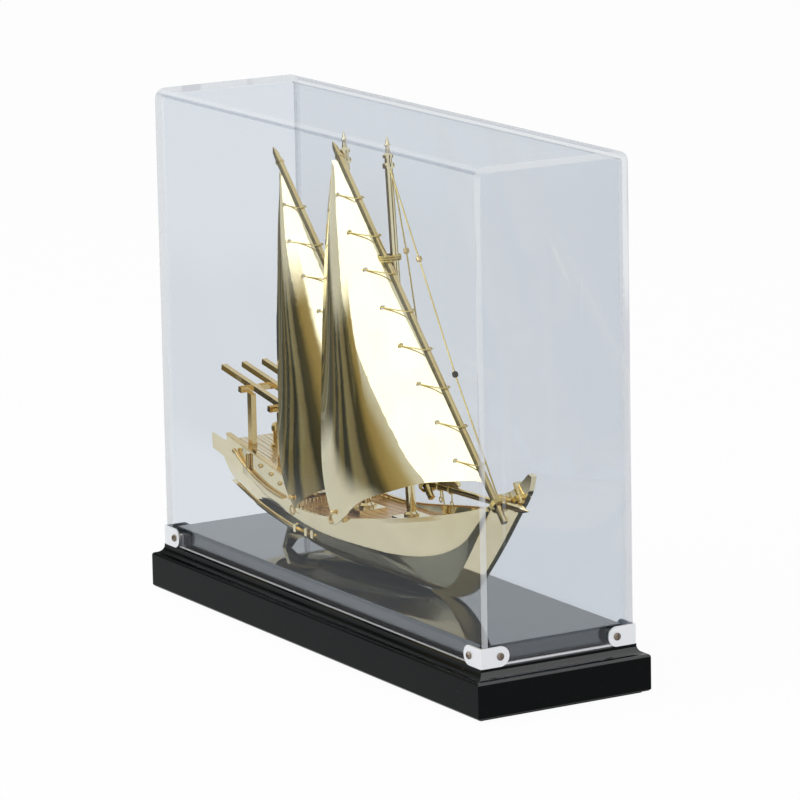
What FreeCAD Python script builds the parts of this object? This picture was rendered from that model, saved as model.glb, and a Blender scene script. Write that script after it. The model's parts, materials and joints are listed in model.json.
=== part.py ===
import FreeCAD, Part
import math
import os

from FreeCAD import Placement, Rotation, Vector

# Glazed display case with a gilt, lateen-rigged sailing ship fixed inside it.
# Millimetres. +X towards the bow, -Y towards the long front side, +Z up.
# The origin is the centre of the underside that the case stands on.

# Overall size of the case
CASE_LENGTH = 287.0
CASE_WIDTH = 86.4
CASE_HEIGHT = 233.7

# Plinth: upright sides, a rounded shoulder and a hollow cove up to the ledge
FELT_THICKNESS = 1.0
FELT_INSET = 3.0
PLINTH_SIDE_TOP = 15.8
LEDGE_HEIGHT = 21.5
LEDGE_INSET = 4.4
SHOULDER_REACH = 1.4
FOOT_CHAMFER = 0.8

# Clear cover: one sheet bent over front, top and back, with two flat ends inside it
SHEET = 3.0
COVER_INSET = 1.1
BEND_RADIUS = 5.0
SLOT_WIDTH = 3.0

# Raised pad inside the cover
PAD_TOP = 30.0
PAD_GAP = 0.4
PAD_EASE = 0.4

# Corner brackets and their screws
BRACKET_SHEET = 0.8
BRACKET_GAP = 0.25
BRACKET_LEG = 14.0
BRACKET_HEIGHT = 8.8
SCREW_SHANK = 1.0
SCREW_HEAD = 1.65
SCREW_HEAD_HEIGHT = 1.0
SCREW_LENGTH = 8.5
RECESS_LENGTH = 2.2
RECESS_WIDTH = 0.5
RECESS_DEPTH = 0.55
HOLE_MARGIN = 0.5

# Hull stations from stern to bow, each
# (sheer x, sheer z, half beam, keel x, keel z, fullness of the section)
HULL_STATIONS = [
    (-117.0, 64.3, 18.3, -114.0, 46.5, 2.5),
    (-95.0, 61.8, 20.3, -94.0, 40.0, 2.4),
    (-70.0, 58.0, 22.0, -70.0, 34.6, 2.2),
    (-40.0, 54.5, 23.6, -40.0, 31.4, 2.1),
    (-10.0, 56.0, 24.0, -12.0, 30.5, 2.1),
    (20.0, 60.8, 23.3, 14.0, 30.4, 2.0),
    (45.0, 65.3, 20.0, 34.0, 30.5, 1.8),
    (66.0, 69.7, 13.4, 47.0, 31.4, 1.55),
    (80.0, 73.4, 7.0, 56.0, 35.0, 1.3),
    (88.5, 76.5, 1.3, 62.0, 40.0, 1.0),
]
HULL_WALL = 1.1
HULL_FLARE = 0.22
SECTION_STEPS = 6
TOP_MARGIN = 14.0
HULL_REACH = 30.0
RUNOUT_LENGTH = 4.0
RUNOUT_RISE = 0.4
RUNOUT_TAPER = 0.3
RUNOUT_KEEL_RISE = 1.0

# Decks: (x, z) of the walking surface from aft to fore, and the plank seams
MAIN_DECK = [(-40.0, 53.6), (0.0, 55.0), (40.0, 59.7), (82.0, 69.6)]
POOP_DECK = [(-117.0, 71.7), (-80.0, 66.2), (-40.0, 60.2)]
DECK_THICKNESS = 1.2
PLANK_WIDTH = 4.0
SEAM_WIDTH = 0.35
SEAM_DEPTH = 0.3
BULKHEAD_THICKNESS = 1.2
RIB_RADIUS = 0.55
RIB_PITCH = 1.9
RIB_START = 0.6
RIB_MARGIN = 2.0
TRANSOM_THICKNESS = 1.4
NOSING_REACH = 1.3
NOSING_RISE = 0.5

# Stem plate, prow horn and its band
STEM_THICKNESS = 2.6
STEM_FRONT = [(81.0, 44.8), (98.8, 64.6), (109.9, 78.0), (118.4, 88.8), (121.0, 96.0)]
HORN_BACK = [(118.3, 96.6), (110.7, 90.6), (102.2, 85.8), (94.4, 83.3), (87.5, 78.6)]
FOREFOOT = [(50.0, PAD_TOP), (69.0, 34.6)]
STEM_INSIDE = [(82.0, 72.0), (58.0, 46.0), (38.0, 33.0), (38.0, PAD_TOP)]
BAND_OUTLINE = [(106.8, 90.6), (112.0, 83.0), (113.0, 83.7), (107.9, 91.4)]
BAND_PROUD = 0.5

# Rails, quarter panels and mouldings
RIM_HEIGHT = 0.8
RIM_PROUD = 0.5
RIM_INSIDE = 0.4
RIM_DEPTH = 1.2
RIM_END = 87.0
CAP_RAIL = [(-113.0, 74.9), (-84.0, 71.4), (-55.0, 67.4)]
CAP_HEIGHT = 1.0
CAP_INSIDE = 0.8
WING_END = [(-117.0, 64.1), (-129.2, 65.9), (-129.8, 72.8), (-114.4, 71.3)]
WING_TAPER = 0.9
WING_MARGIN = 1.0
PANEL_SWEEP = [(-50.0, 64.6), (-46.0, 59.6), (-41.0, 57.4)]
PANEL_UNDER = [(-41.0, 52.5), (-70.0, 56.0), (-95.0, 60.0), (-116.0, 62.4)]
MOULDING_LINE = [(-53.6, 57.3), (-76.0, 60.1), (-92.4, 65.0)]
SCROLL_LINE = [(-92.4, 65.0), (-97.5, 67.0), (-102.0, 69.6)]
PILLAR_LINE = [(-88.6, 63.6), (-88.9, 70.6)]
MOULDING_RADIUS = 0.8
MOULDING_GAP = 0.2
KNOB_RADIUS = 1.5 * MOULDING_RADIUS
KNOB_PROUD = 0.6 * MOULDING_RADIUS
STUDS = [(-76.8, 67.3), (-66.2, 65.5), (-57.4, 62.9)]
STUD_ROOT = 0.4
STUD_PROFILE = [(0, 1.0), (0.9, 1.0), (1.4, 0.75), (1.65, 0.3)]
WALE_LINE = [(-124.0, 52.0), (-85.0, 45.0), (-55.0, 41.9), (-31.0, 42.2)]
WALE_HEIGHT = 2.2
WALE_PROUD = 0.8
WALE_OVERHANG = 4.0
WALE_INSIDE = 10.5
WALE_BLOCKS = [-48.6, -38.7, -33.3]
BLOCK_HALF_LENGTH = 1.1
BLOCK_Y = (-20.8, -16.0)
BLOCK_Z = (42.0, 45.4)

# Masts and yards: foot, top and sizes
MAIN_MAST = (Vector(19.8, 0, 58.6), Vector(4.5, 0, 226.0))
MIZZEN_MAST = (Vector(-19.2, 0, 55.2), Vector(-32.9, 0, 223.5))
MAST_FOOT_RADIUS = 2.2
MAST_HEAD_RADIUS = 1.8
MAST_HEAD_LENGTH = 13.8
MAST_RINGS = [(0, 0), (0, 0.8), (1.2, 1.0), (2.4, 0.8), (2.4, -0.1), (4.6, -0.1), (4.6, 0.6), (5.8, 0.6),
              (7.0, -0.7), (9.4, -0.9), (10.2, -0.4), (11.0, -0.9)]
POINT_RADIUS = 0.2
MAIN_STEP_TOP = 59.6
MIZZEN_STEP_TOP = 56.2
STEP_HALF_LENGTH = 5.5
STEP_HALF_WIDTH = 7.0
COLLAR_SEAT = 0.5
COLLAR_PROFILE = [(0, 1.3), (1.6, 1.3), (2.6, 0.5)]
MAIN_YARD = (Vector(110.3, -8.2, 75.0), Vector(-36.0, -3.9, 219.0))
MIZZEN_YARD = (Vector(46.2, -5.4, 73.2), Vector(-88.0, -4.9, 210.0))
YARD_RADIUS = 1.6
YARD_POINT = 9.0
YARD_TAPER = 3.0
YARD_COLLAR_LENGTH = 1.0
YARD_COLLAR_PROUD = 0.4
SPAR_CHAMFER = 0.3

# Bowsprit, lying along the starboard face of the stem
BOWSPRIT = (Vector(37.0, -1.9, 78.0), Vector(125.3, -5.5, 82.3))
BOWSPRIT_RADIUS = 1.5
BOWSPRIT_POINT = 11.0
BOWSPRIT_COLLAR = (0.4, 0.25)

# Sails: points along the free edges, and how they hang from the yards
MAIN_LEECH = [(-35.0, -5.0, 211.0), (-34.7, -9.0, 180.2), (-29.2, -14.5, 150.1), (-24.7, -18.5, 124.3),
              (-20.3, -22.0, 98.4), (-15.1, -24.8, 77.1), (-9.0, -26.2, 64.7), (-1.8, -26.8, 54.9)]
MAIN_FOOT = [(-1.8, -26.8, 54.9), (5.9, -27.0, 59.5), (13.9, -27.0, 65.6), (28.5, -26.5, 73.1),
             (44.6, -25.0, 78.7), (59.6, -21.8, 83.9), (77.1, -15.2, 87.8)]
MAIN_LUFF_Z = (212.8, 90.8)
MIZZEN_LEECH = [(-82.9, -5.0, 199.3), (-78.5, -9.0, 173.9), (-71.2, -14.5, 143.7), (-64.9, -18.5, 117.7),
                (-58.6, -22.0, 91.7), (-53.7, -24.6, 74.5), (-47.5, -25.9, 64.3), (-37.8, -26.4, 55.6)]
MIZZEN_FOOT = [(-37.8, -26.4, 55.6), (-31.0, -25.8, 60.9), (-21.8, -24.4, 65.7), (-8.0, -21.4, 71.0),
               (8.0, -16.5, 77.0), (24.0, -10.8, 83.6)]
MIZZEN_LUFF_Z = (201.0, 91.6)
LUFF_GAP = 2.6
SAIL_THICKNESS = 0.5
SAIL_BILLOW = 5.0
SAIL_ROWS = 8
SAIL_COLUMNS = 8
EYELET_RADIUS = 1.1
EYELET_INSET = 9.0
EYELET_COUNT = 8
EYELET_FIRST = 0.104
EYELET_PITCH = 0.119
EYELET_SHARE = 0.4
PUNCH_REACH = 4.0
CLEW_PLACE = (0.965, 0.03)
CLEW_PIN_RADIUS = 0.6
CLEW_POST = 6.0
CLEW_INSIDE = 0.2
CLEW_PAST = 0.9
CLEW_KNOB = [(0, 1.2), (0.5, 1.2), (1.0, 0.6)]
CLEW_HOLE = 0.8

# Cordage
LACING_RADIUS = 0.3
LACING_GAP = 0.18
LACING_EASE = 0.05
LASHING_RADIUS = 0.4
LASHING_PITCH = 2.1 * LASHING_RADIUS
CROSSING_PITCH = 2.2 * LASHING_RADIUS
CROSSING_WIDTH = 1.5
LASHING_MAST_GAP = 0.1
LASHING_YARD_GAP = 0.2
MAIN_LASHING_Z = 173.6
MIZZEN_LASHING_Z = 149.2
PROW_CROSSING_X = 104.0
HEEL_CROSSING_X = 41.2
STAY_RADIUS = 0.35
FORESTAY = [(7.0, -0.4, 213.0), (33.0, -1.8, 176.3), (62.0, -2.2, 130.3), (100.5, -4.5, 81.4)]
HALYARD = [(7.6, 0.8, 210.0), (17.3, 1.2, 177.3), (44.8, 3.0, 59.6)]
BEAD_RADIUS = 1.3
HOOK_WIRE = 0.3
HOOK_RING = 1.1
HOOK_EASE = 0.05
HOOK_PLACES = [(48.5, 3.0), (58.5, 3.6)]
RING_PLACES = [(-7.9, 56.2), (-43.6, 53.6)]
RING_RADIUS = 1.9
RING_WIRE = 0.45
RING_GAP = 0.1
HEEL_SPAR_X = (46.0, 66.0)
HEEL_GAP = 0.1
HEEL_ROUNDING = 0.5
HEEL_NOSE = (2.0, 0.8)

# Shelter over the poop
SHELTER_TILT = 9.6
SHELTER_ORIGIN = Vector(-96.5, 0, 100.2)
SLAT_SIZE = 2.5
SLAT_SPACING = 10.6
SLAT_REACH = (-23.5, 39.0)
BEAM_REACH = 20.5
BEAM_PLACES = (0.0, 27.0)
POST_LENGTH_X = 3.6
POST_SHIFT = 2.6
POST_WIDTH_Y = 2.6
ROOM = 100.0
HELM_X = -100.6
HELM_SEAT = 1.0
HELM_PROFILE = [(0, 2.4), (2.2, 2.4), (2.8, 1.4), (8.0, 1.4), (8.4, 2.0), (10.6, 2.0), (12.0, 1.3),
                (12.5, 0.4)]

# Trestle under the stern
TRESTLE_X = -68.0
TRESTLE_WIDTH = 3.2
TRESTLE_FOOT = (12.4, 15.5)
TRESTLE_ARCH = (8.6, 34.0)
TRESTLE_HEAD = (12.0, 41.0)

os.makedirs("parts", exist_ok=True)


def export(name, shape):
    """Write one piece, or one group of like pieces, to its own file."""
    print(name, len(shape.Solids), round(shape.Volume, 2), shape.isValid())
    shape.exportStep("parts/" + name + ".step")


def box(x0, x1, y0, y1, z0, z1):
    """Box between two corners."""
    return Part.makeBox(x1 - x0, y1 - y0, z1 - z0, Vector(x0, y0, z0))


def mirror_y(shape):
    """The same shape on the other side of the middle plane."""
    return shape.mirror(Vector(0, 0, 0), Vector(0, 1, 0))


def spline(points):
    """Smooth edge through the points."""
    curve = Part.BSplineCurve()
    curve.interpolate([Vector(*p) for p in points])
    return curve.toShape()


def lines(points):
    """Straight edges from point to point."""
    return [Part.makeLine(Vector(*a), Vector(*b)) for a, b in zip(points, points[1:])]


def on_plane(points):
    """Points (x, z) of an outline, placed on the middle plane."""
    return [(x, 0, z) for x, z in points]


def face_of(edges):
    """Face inside a closed ring of edges."""
    return Part.Face(Part.Wire(Part.__sortEdges__(edges)))


def across(edges, half):
    """Solid from an outline in the XZ plane, run across the ship to both sides."""
    solid = face_of(edges).extrude(Vector(0, 2 * half, 0))
    solid.translate(Vector(0, -half, 0))
    return solid


def strip(line, below, above, half):
    """Solid that follows a curve in the XZ plane, from below it to above it."""
    low = [(x, 0, z - below) for x, z in line]
    high = [(x, 0, z + above) for x, z in line]
    return across([spline(low), spline(high)] + lines([low[0], high[0]]) + lines([low[-1], high[-1]]), half)


def turned(start, end, profile):
    """Round piece turned about the line from start to end, from (along, radius) points."""
    ring = [Vector(0, 0, profile[0][0])]
    ring += [Vector(radius, 0, along) for along, radius in profile]
    ring.append(Vector(0, 0, profile[-1][0]))
    ring.append(ring[0])
    solid = Part.Face(Part.makePolygon(ring)).revolve(Vector(0, 0, 0), Vector(0, 0, 1), 360)
    solid.Placement = Placement(start, Rotation(Vector(0, 0, 1), end - start))
    return solid


def rod(start, end, radius):
    """Plain round bar between two points."""
    return Part.makeCylinder(radius, (end - start).Length, start, end - start)


def pipe(edges, radius):
    """Round bar along joined edges."""
    path = Part.Wire(edges)
    first = path.OrderedEdges[0]
    start = first.valueAt(first.FirstParameter)
    way = first.tangentAt(first.FirstParameter)
    ring = Part.Wire([Part.makeCircle(radius, start, way)])
    return path.makePipeShell([ring], True, True)


def strap(a, a_radius, b, b_radius, normal, wire):
    """Cord loop pulled tight round two bars whose centres in its plane are a and b."""
    along = (b - a).normalize()
    side = normal.cross(along)
    lean = math.acos((a_radius - b_radius) / (b - a).Length)

    def at(centre, radius, angle):
        return centre + (along * math.cos(angle) + side * math.sin(angle)) * radius

    far = Part.Arc(at(a, a_radius, lean), at(a, a_radius, math.pi), at(a, a_radius, -lean)).toShape()
    near = Part.Arc(at(b, b_radius, -lean), at(b, b_radius, 0), at(b, b_radius, lean)).toShape()
    out = Part.makeLine(at(a, a_radius, -lean), at(b, b_radius, -lean))
    back = Part.makeLine(at(b, b_radius, lean), at(a, a_radius, lean))
    return pipe([far, out, near, back], wire)


def at_height(line, z):
    """Point of a straight bar at one height."""
    start, end = line
    return start + (end - start) * ((z - start.z) / (end.z - start.z))


def at_length(line, x):
    """Point of a straight bar at one place along the ship."""
    start, end = line
    return start + (end - start) * ((x - start.x) / (end.x - start.x))


# Case

HALF_LENGTH = CASE_LENGTH / 2
HALF_WIDTH = CASE_WIDTH / 2
COVER_X = HALF_LENGTH - LEDGE_INSET - COVER_INSET
COVER_Y = HALF_WIDTH - LEDGE_INSET - COVER_INSET
INNER_X = COVER_X - SHEET
INNER_Y = COVER_Y - SHEET
BRACKET_X = COVER_X + BRACKET_GAP + BRACKET_SHEET
BRACKET_Y = COVER_Y + BRACKET_GAP + BRACKET_SHEET
SCREW_INSET = BRACKET_LEG - BRACKET_HEIGHT / 2
SCREW_Z = LEDGE_HEIGHT + BRACKET_HEIGHT / 2


def plinth_bar(half, other):
    """The moulded outline of the plinth across one width, run along the other."""
    ledge = half - LEDGE_INSET
    shoulder = half - SHOULDER_REACH
    shoulder_z = PLINTH_SIDE_TOP + SHOULDER_REACH
    quarter = 1 - math.sqrt(0.5)
    round_point = (half - SHOULDER_REACH * quarter, shoulder_z - SHOULDER_REACH * quarter)
    cove_point = (ledge + quarter * (shoulder - ledge), shoulder_z + quarter * (LEDGE_HEIGHT - shoulder_z))
    foot = half - FOOT_CHAMFER
    foot_z = FELT_THICKNESS + FOOT_CHAMFER
    edges = lines([(-foot, 0, FELT_THICKNESS), (foot, 0, FELT_THICKNESS)])
    edges += lines([(-ledge, 0, LEDGE_HEIGHT), (ledge, 0, LEDGE_HEIGHT)])
    for sign in (1, -1):
        def at(x, z):
            return Vector(sign * x, 0, z)

        edges.append(Part.makeLine(at(foot, FELT_THICKNESS), at(half, foot_z)))
        edges.append(Part.makeLine(at(half, foot_z), at(half, PLINTH_SIDE_TOP)))
        edges.append(Part.Arc(at(half, PLINTH_SIDE_TOP), at(*round_point), at(shoulder, shoulder_z)).toShape())
        edges.append(Part.Arc(at(shoulder, shoulder_z), at(*cove_point), at(ledge, LEDGE_HEIGHT)).toShape())
    return across(edges, other)


def long_top_edges(shape, z):
    """Edges that run along X at one height."""
    return [e for e in shape.Edges
            if abs(e.BoundBox.ZMin - z) < 0.01 and abs(e.BoundBox.ZMax - z) < 0.01 and e.BoundBox.XLength > 1
            and e.BoundBox.YLength < 0.01]


def arched_box(half_x0, half_x1, half_y, z0, z1, radius):
    """Box whose two long top edges are rounded."""
    block = box(half_x0, half_x1, -half_y, half_y, z0, z1)
    return block.makeFillet(radius, long_top_edges(block, z1))


def screw_places():
    """Every bracket screw as (point on the bracket's outer face, way in)."""
    places = []
    for sx in (-1, 1):
        for sy in (-1, 1):
            places.append((Vector(sx * (BRACKET_X - SCREW_INSET), sy * BRACKET_Y, SCREW_Z), Vector(0, -sy, 0)))
            places.append((Vector(sx * BRACKET_X, sy * (BRACKET_Y - SCREW_INSET), SCREW_Z), Vector(-sx, 0, 0)))
    return places


def slots():
    """Open-bottomed slots that let the cover lift off past the screws."""
    cutters = []
    half = SLOT_WIDTH / 2
    depth = 2 * SHEET
    for place, way in screw_places():
        cutters.append(Part.makeCylinder(half, depth, place, way))
        end = place + way * depth
        wide = Vector(abs(way.y), abs(way.x), 0) * half
        low = Vector(min(place.x, end.x), min(place.y, end.y), LEDGE_HEIGHT - 1) - wide
        high = Vector(max(place.x, end.x), max(place.y, end.y), SCREW_Z) + wide
        cutters.append(box(low.x, high.x, low.y, high.y, low.z, high.z))
    return Part.makeCompound(cutters)


def make_case():
    """Felt, plinth, pad, clear cover, brackets and screws."""
    inset_x = HALF_LENGTH - FELT_INSET
    inset_y = HALF_WIDTH - FELT_INSET
    export("felt_underlay", box(-inset_x, inset_x, -inset_y, inset_y, 0, FELT_THICKNESS))

    along = plinth_bar(HALF_LENGTH, HALF_WIDTH)
    athwart = plinth_bar(HALF_WIDTH, HALF_LENGTH)
    athwart.rotate(Vector(0, 0, 0), Vector(0, 0, 1), 90)
    export("base_plinth", along.common(athwart))

    pad_x = INNER_X - PAD_GAP
    pad_y = INNER_Y - PAD_GAP
    pad = box(-pad_x, pad_x, -pad_y, pad_y, LEDGE_HEIGHT, PAD_TOP)
    pad = pad.makeChamfer(PAD_EASE, [e for e in pad.Edges if e.BoundBox.ZMin > PAD_TOP - 0.01])
    holes = [Part.makeCylinder(SCREW_SHANK, SCREW_LENGTH + 1, place, way) for place, way in screw_places()]
    export("display_pad", pad.cut(Part.makeCompound(holes)))

    outer = arched_box(-COVER_X, COVER_X, COVER_Y, LEDGE_HEIGHT, CASE_HEIGHT, BEND_RADIUS)
    inner = arched_box(-HALF_LENGTH, HALF_LENGTH, INNER_Y, 0, CASE_HEIGHT - SHEET, BEND_RADIUS - SHEET)
    cutters = slots()
    export("cover_wrap", outer.cut(inner).cut(cutters))
    for name, x0, x1 in (("left", -COVER_X, -INNER_X), ("right", INNER_X, COVER_X)):
        end = arched_box(x0, x1, INNER_Y, LEDGE_HEIGHT, CASE_HEIGHT - SHEET, BEND_RADIUS - SHEET)
        export("cover_end_" + name, end.cut(cutters))


def bracket():
    """Angle bracket for the front right corner, with half-round ends and two holes."""
    top = LEDGE_HEIGHT + BRACKET_HEIGHT
    end_x = BRACKET_X - SCREW_INSET
    end_y = -BRACKET_Y + SCREW_INSET
    inner_x = BRACKET_X - BRACKET_SHEET
    inner_y = -BRACKET_Y + BRACKET_SHEET
    solid = box(end_x, BRACKET_X, -BRACKET_Y, inner_y, LEDGE_HEIGHT, top)
    solid = solid.fuse(box(inner_x, BRACKET_X, -BRACKET_Y, end_y, LEDGE_HEIGHT, top))
    solid = solid.fuse(Part.makeCylinder(BRACKET_HEIGHT / 2, BRACKET_SHEET, Vector(end_x, -BRACKET_Y, SCREW_Z),
                                         Vector(0, 1, 0)))
    solid = solid.fuse(Part.makeCylinder(BRACKET_HEIGHT / 2, BRACKET_SHEET, Vector(inner_x, end_y, SCREW_Z),
                                         Vector(1, 0, 0)))
    solid = solid.removeSplitter()
    corner = [e for e in solid.Edges if e.BoundBox.ZLength > BRACKET_HEIGHT - 0.1
              and e.BoundBox.XMin > BRACKET_X - 0.01 and e.BoundBox.YMax < -BRACKET_Y + 0.01]
    solid = solid.makeFillet(BRACKET_SHEET * 0.9, corner)
    through = BRACKET_SHEET + 2 * HOLE_MARGIN
    front = Vector(end_x, -BRACKET_Y - HOLE_MARGIN, SCREW_Z)
    side = Vector(BRACKET_X + HOLE_MARGIN, end_y, SCREW_Z)
    holes = [Part.makeCylinder(SCREW_SHANK, through, front, Vector(0, 1, 0)),
             Part.makeCylinder(SCREW_SHANK, through, side, Vector(-1, 0, 0))]
    return solid.cut(Part.makeCompound(holes))


def screw(place, way):
    """Round-headed screw with a cross recess, head outside the bracket."""
    start = place - way * SCREW_HEAD_HEIGHT
    tip = SCREW_HEAD_HEIGHT + SCREW_LENGTH
    profile = [(0, SCREW_HEAD * 0.45), (SCREW_HEAD_HEIGHT * 0.25, SCREW_HEAD * 0.8),
               (SCREW_HEAD_HEIGHT * 0.65, SCREW_HEAD), (SCREW_HEAD_HEIGHT, SCREW_HEAD),
               (SCREW_HEAD_HEIGHT, SCREW_SHANK), (tip - SCREW_SHANK, SCREW_SHANK), (tip, SCREW_SHANK * 0.2)]
    solid = turned(start, place, profile)
    for length, width in ((RECESS_LENGTH, RECESS_WIDTH), (RECESS_WIDTH, RECESS_LENGTH)):
        cutter = Part.makeBox(length, width, 2 * RECESS_DEPTH, Vector(-length / 2, -width / 2, -RECESS_DEPTH))
        cutter.Placement = Placement(start, Rotation(Vector(0, 0, 1), way))
        solid = solid.cut(cutter)
    return solid


def make_fixings():
    """Four corner brackets and the screws that hold them."""
    front_right = bracket()
    front_left = front_right.mirror(Vector(0, 0, 0), Vector(1, 0, 0))
    export("corner_bracket_front_right", front_right)
    export("corner_bracket_front_left", front_left)
    export("corner_bracket_rear_right", mirror_y(front_right))
    export("corner_bracket_rear_left", mirror_y(front_left))
    export("bracket_screws", Part.makeCompound([screw(place, way) for place, way in screw_places()]))


# Ship: hull and what is built on it

def section(station, inset, top):
    """Closed hull section, in the plane that leans from its keel to its sheer."""
    sheer_x, sheer_z, beam, keel_x, keel_z, fullness = station
    beam -= inset
    keel_z += inset

    def at(side, step):
        angle = math.pi / 2 * step / SECTION_STEPS
        depth = math.sin(angle) ** (2 / fullness)
        round_part = math.cos(angle) ** (2 / fullness) if step < SECTION_STEPS else 0.0
        breadth = beam * ((1 - HULL_FLARE) * round_part + HULL_FLARE * (1 - depth))
        return (sheer_x + (keel_x - sheer_x) * depth, side * breadth, sheer_z + (keel_z - sheer_z) * depth)

    starboard = [at(-1, step) for step in range(SECTION_STEPS + 1)]
    port = [at(1, SECTION_STEPS - step) for step in range(SECTION_STEPS + 1)]
    edges = [spline(starboard), spline(port)]
    if top:
        lean = (sheer_x - keel_x) / (sheer_z - keel_z)
        raised = [(sheer_x + lean * top, side * beam, sheer_z + top) for side in (-1, 1)]
        edges = lines([raised[0], starboard[0]]) + edges + lines([port[-1], raised[1], raised[0]])
    else:
        edges += lines([port[-1], starboard[0]])
    return Part.Wire(edges)


def hull_block():
    """Solid inside the hull's outer skin."""
    return Part.makeLoft([section(s, 0, 0) for s in HULL_STATIONS], True, False)


def hollow():
    """The space inside the hull's wall, carried up past the sheer and out of the stern."""
    first = HULL_STATIONS[0]
    behind = (first[0] - RUNOUT_LENGTH, first[1] + RUNOUT_RISE, first[2] - RUNOUT_TAPER,
              first[3] - RUNOUT_LENGTH, first[4] + RUNOUT_KEEL_RISE, first[5])
    stations = [behind] + HULL_STATIONS[1:-1]
    return Part.makeLoft([section(s, HULL_WALL, TOP_MARGIN) for s in stations], True, True)


def plan_band(inside, outside):
    """Upright band along the sheer's plan on the starboard side, between two offsets."""
    plan = [(WING_END[1][0] - WING_MARGIN, HULL_STATIONS[0][2] - WING_TAPER)]
    plan += [(s[0], s[2]) for s in HULL_STATIONS]

    def offset(distance):
        return [(x, -(y + distance), 0) for x, y in plan]

    near = offset(-inside)
    far = offset(outside)
    band = face_of([spline(near), spline(far)] + lines([near[0], far[0]]) + lines([near[-1], far[-1]]))
    return band.extrude(Vector(0, 0, CASE_HEIGHT))


def half_beam(x):
    """Half beam at the sheer, by straight lines between stations."""
    for a, b in zip(HULL_STATIONS, HULL_STATIONS[1:]):
        if a[0] <= x <= b[0]:
            return a[2] + (b[2] - a[2]) * (x - a[0]) / (b[0] - a[0])
    return HULL_STATIONS[0][2]


def deck_height(line, x):
    """Height of a deck's surface, by straight lines between its points."""
    for a, b in zip(line, line[1:]):
        if a[0] <= x <= b[0]:
            return a[1] + (b[1] - a[1]) * (x - a[0]) / (b[0] - a[0])
    return line[-1][1]


def deck(line, space):
    """Deck plate that fills the hull's hollow, with seams between its planks."""
    plate = strip(line, DECK_THICKNESS, 0, HULL_REACH).common(space)
    seams = []
    count = int(HULL_REACH / PLANK_WIDTH)
    groove = strip(line, SEAM_DEPTH, 1, SEAM_WIDTH / 2)
    for step in range(-count, count):
        seam = groove.copy()
        seam.translate(Vector(0, (step + 0.5) * PLANK_WIDTH, 0))
        seams.append(seam)
    return plate.cut(Part.makeCompound(seams))


def below_deck(line):
    """Everything under a deck's surface, to seat what stands on it."""
    return strip(line, line[0][1], 0, HULL_REACH)


def both_sides(name, starboard):
    """Export a starboard piece and its port twin."""
    export(name + "_starboard", starboard)
    export(name + "_port", mirror_y(starboard))


def make_hull(body, space):
    """Hull shell, stem, transom and decks."""
    export("hull", body.cut(space))

    forefoot = Part.Arc(*[Vector(*p) for p in on_plane(FOREFOOT + STEM_FRONT[:1])]).toShape()
    outline = [forefoot, spline(on_plane(STEM_FRONT)), spline(on_plane(HORN_BACK))]
    outline += lines(on_plane([STEM_FRONT[-1], HORN_BACK[0]]))
    outline += lines(on_plane(HORN_BACK[-1:] + STEM_INSIDE + FOREFOOT[:1]))
    floor = box(-CASE_LENGTH, CASE_LENGTH, -HULL_REACH, HULL_REACH, 0, PAD_TOP)
    stem = across(outline, STEM_THICKNESS / 2)
    export("stem_plate", stem.cut(body).cut(floor))

    band = across(lines(on_plane(BAND_OUTLINE + BAND_OUTLINE[:1])), STEM_THICKNESS / 2 + BAND_PROUD)
    export("prow_band", band.cut(stem))

    first = HULL_STATIONS[0]
    rise = (POOP_DECK[0][1] - DECK_THICKNESS - first[4]) / (first[1] - first[4])
    top_x = first[3] + (first[0] - first[3]) * rise
    top_z = POOP_DECK[0][1] - DECK_THICKNESS
    corners = [(first[3], 0, first[4]), (top_x, 0, top_z), (top_x + TRANSOM_THICKNESS, 0, top_z),
               (first[3] + TRANSOM_THICKNESS, 0, first[4]), (first[3], 0, first[4])]
    poop = deck(POOP_DECK, space)
    export("transom", across(lines(corners), HULL_REACH).common(space).cut(poop))

    export("main_deck", deck(MAIN_DECK, space))
    export("poop_deck", poop)

    x1, low = MAIN_DECK[0]
    high = POOP_DECK[-1][1] - DECK_THICKNESS
    x0 = x1 - BULKHEAD_THICKNESS
    wall = box(x0, x1, -HULL_REACH, HULL_REACH, low - DECK_THICKNESS, high).common(space)
    count = int(HULL_REACH / RIB_PITCH)
    ribs = [rod(Vector(x1, k * RIB_PITCH, low + RIB_START), Vector(x1, k * RIB_PITCH, high), RIB_RADIUS)
            for k in range(-count, count + 1) if abs(k * RIB_PITCH) < half_beam(x1) - RIB_MARGIN]
    export("poop_bulkhead", wall.fuse(ribs))
    lip = box(x1, x1 + NOSING_REACH, -HULL_REACH, HULL_REACH, high, POOP_DECK[-1][1] + NOSING_RISE)
    export("poop_nosing", lip.common(space))
    return stem


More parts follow.
